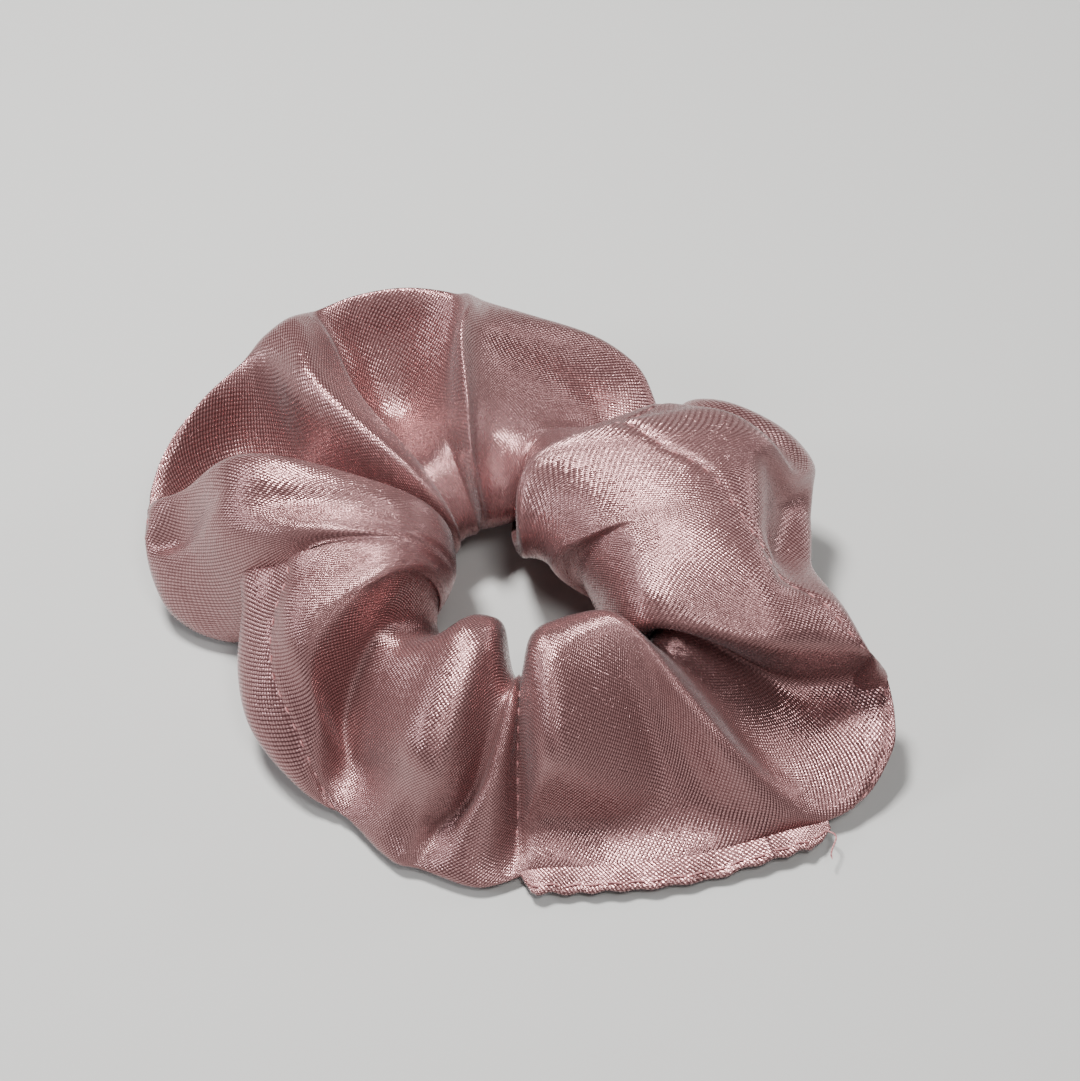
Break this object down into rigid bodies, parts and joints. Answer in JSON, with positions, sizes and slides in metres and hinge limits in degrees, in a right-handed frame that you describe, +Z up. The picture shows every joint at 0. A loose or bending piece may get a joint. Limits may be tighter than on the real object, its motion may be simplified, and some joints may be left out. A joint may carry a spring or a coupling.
{
  "type": "satin scrunchie",
  "caption": "Gathered satin hair scrunchie: a sewn cloth tube in full soft gathers on a ring of flat elastic, which stretches open to pass over hair.",
  "frame": {"origin": "middle of the footprint, on the surface that the scrunchie lies on", "axes": "+Z up, out of the lying ring; the cross seam and the closing topstitch are at -Y, the front; +X to the right seen from the front"},
  "size_m": [0.112, 0.097, 0.036],
  "materials": {
    "satin": "dusty rose polyester satin with a fine diagonal weave and a soft bright sheen",
    "elastic": "off-white braided flat elastic, matt",
    "thread": "dusty rose polyester sewing thread, slight sheen"
  },
  "bodies": {
    "gather_1": {"satin_cover_gather_1": "satin", "elastic_band": "elastic", "elastic_join_thread": "thread", "long_seam_thread": "thread", "cross_seam_thread": "thread", "closing_topstitch_thread": "thread"},
    "gather_2": {"satin_cover_gather_2": "satin"},
    "gather_3": {"satin_cover_gather_3": "satin"},
    "gather_4": {"satin_cover_gather_4": "satin"},
    "gather_5_right": {"satin_cover_gather_5_right": "satin"},
    "gather_5_left": {"satin_cover_gather_5_left": "satin"},
    "gather_6": {"satin_cover_gather_6": "satin"},
    "gather_7": {"satin_cover_gather_7": "satin"},
    "gather_8": {"satin_cover_gather_8": "satin"}
  },
  "joints": [
    {"name": "stretch", "type": "slide", "parent": "gather_1", "child": "gather_2", "axis": [0.9239, 0.3827, 0], "range_m": [0, 0.02], "stiffness_N_per_m": 600, "deforming": ["elastic_band", "long_seam_thread", "closing_topstitch_thread"]},
    {"name": "stretch_2_to_3", "type": "slide", "parent": "gather_2", "child": "gather_3", "axis": [0.3827, 0.9239, 0], "range_m": [0, 0.02]},
    {"name": "stretch_3_to_4", "type": "slide", "parent": "gather_3", "child": "gather_4", "axis": [-0.3827, 0.9239, 0], "range_m": [0, 0.02]},
    {"name": "stretch_4_to_5_right", "type": "slide", "parent": "gather_4", "child": "gather_5_right", "axis": [-0.9239, 0.3827, 0], "range_m": [0, 0.02]},
    {"name": "stretch_1_to_8", "type": "slide", "parent": "gather_1", "child": "gather_8", "axis": [-0.9239, 0.3827, 0], "range_m": [0, 0.02]},
    {"name": "stretch_8_to_7", "type": "slide", "parent": "gather_8", "child": "gather_7", "axis": [-0.3827, 0.9239, 0], "range_m": [0, 0.02]},
    {"name": "stretch_7_to_6", "type": "slide", "parent": "gather_7", "child": "gather_6", "axis": [0.3827, 0.9239, 0], "range_m": [0, 0.02]},
    {"name": "stretch_6_to_5_left", "type": "slide", "parent": "gather_6", "child": "gather_5_left", "axis": [0.9239, 0.3827, 0], "range_m": [0, 0.02]}
  ],
  "couplings": [
    {"joint": "stretch_2_to_3", "follows": "stretch", "ratio": 1},
    {"joint": "stretch_3_to_4", "follows": "stretch", "ratio": 1},
    {"joint": "stretch_4_to_5_right", "follows": "stretch", "ratio": 1},
    {"joint": "stretch_1_to_8", "follows": "stretch", "ratio": 1},
    {"joint": "stretch_8_to_7", "follows": "stretch", "ratio": 1},
    {"joint": "stretch_7_to_6", "follows": "stretch", "ratio": 1},
    {"joint": "stretch_6_to_5_left", "follows": "stretch", "ratio": 1}
  ]
}
